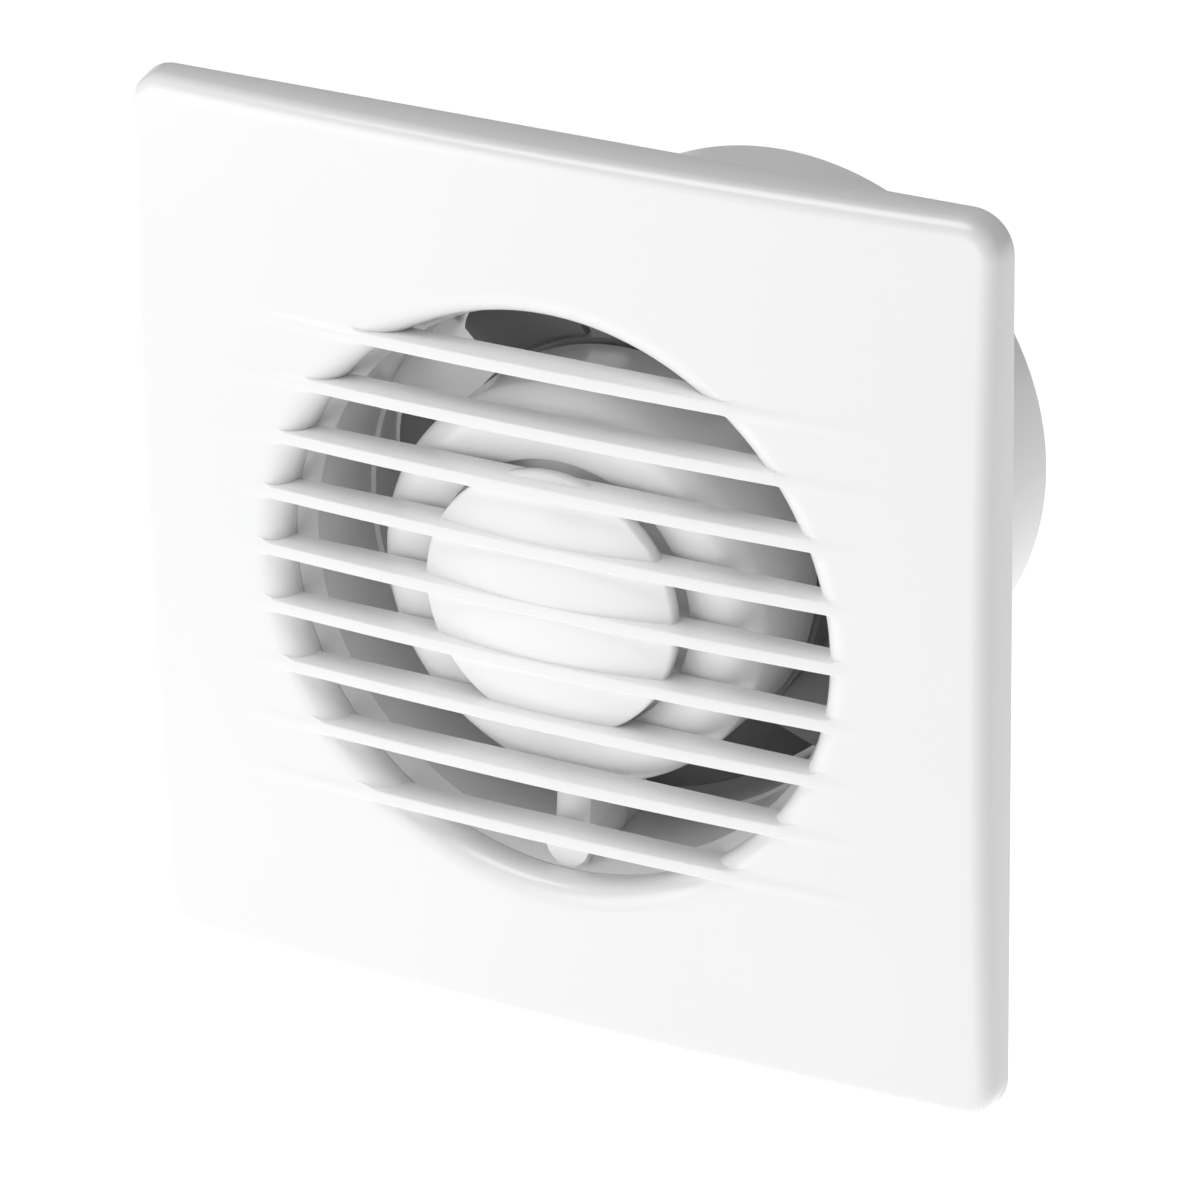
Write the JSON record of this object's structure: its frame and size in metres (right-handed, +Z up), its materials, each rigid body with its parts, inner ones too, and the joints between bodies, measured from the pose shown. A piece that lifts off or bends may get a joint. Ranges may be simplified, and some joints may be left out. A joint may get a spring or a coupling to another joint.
{
  "type": "bathroom extractor fan",
  "caption": "Square wall-mounted axial fan with a domed cover, horizontal grille bars, a round centre button and a round duct spigot.",
  "frame": {"origin": "centre of the four wall screws, on the flat back of the casing that lies on the wall", "axes": "+Y along the duct, into the wall; the room is on -Y; +Z up; +X to the right as seen from the room"},
  "size_m": [0.158, 0.0881, 0.158],
  "materials": {
    "white_abs": "glossy moulded plastic",
    "core_steel": "oiled stamped steel sheets",
    "bobbin_nylon": "natural nylon",
    "enamelled_copper": "lacquered copper wire",
    "zinc_steel": "bright zinc plating",
    "bronze": "sintered bronze",
    "lead_pvc": "PVC insulation",
    "rotor_metal": "turned",
    "shaft_steel": "ground",
    "impeller_grey": "satin moulded plastic",
    "brass": "bright",
    "terminal_white": "satin",
    "grommet_rubber": "matte"
  },
  "bodies": {
    "housing": {"casing": "white_abs", "duct_spigot": "white_abs", "motor_housing": "white_abs", "support_arm": "white_abs", "motor_rear_cover": "white_abs", "stator_laminations": "core_steel", "coil_bobbin": "bobbin_nylon", "coil_winding": "enamelled_copper", "front_bearing_bracket": "zinc_steel", "rear_bearing_bracket": "zinc_steel", "front_bush": "bronze", "rear_bush": "bronze", "motor_screws": "zinc_steel", "motor_leads": "lead_pvc", "terminal_block": "terminal_white", "terminal_barrels": "brass", "terminal_screws": "zinc_steel", "cable_grommet": "grommet_rubber", "cable_clamp": "white_abs", "cable_clamp_screws": "zinc_steel"},
    "impeller": {"rotor_core": "rotor_metal", "rotor_shaft": "shaft_steel", "impeller_hub": "impeller_grey", "impeller_blades": "impeller_grey", "impeller_insert": "brass", "impeller_nut": "zinc_steel"},
    "cover": {"grille_plate": "white_abs", "grille_bars": "white_abs", "grille_button": "white_abs"}
  },
  "joints": [
    {"name": "impeller_spin", "type": "hinge", "parent": "housing", "child": "impeller", "pos_m": [0, 0.01, 0], "axis": [0, 1, 0], "continuous": true},
    {"name": "cover_release", "type": "slide", "parent": "housing", "child": "cover", "axis": [0, -1, 0], "range_m": [0, 0.03]}
  ]
}
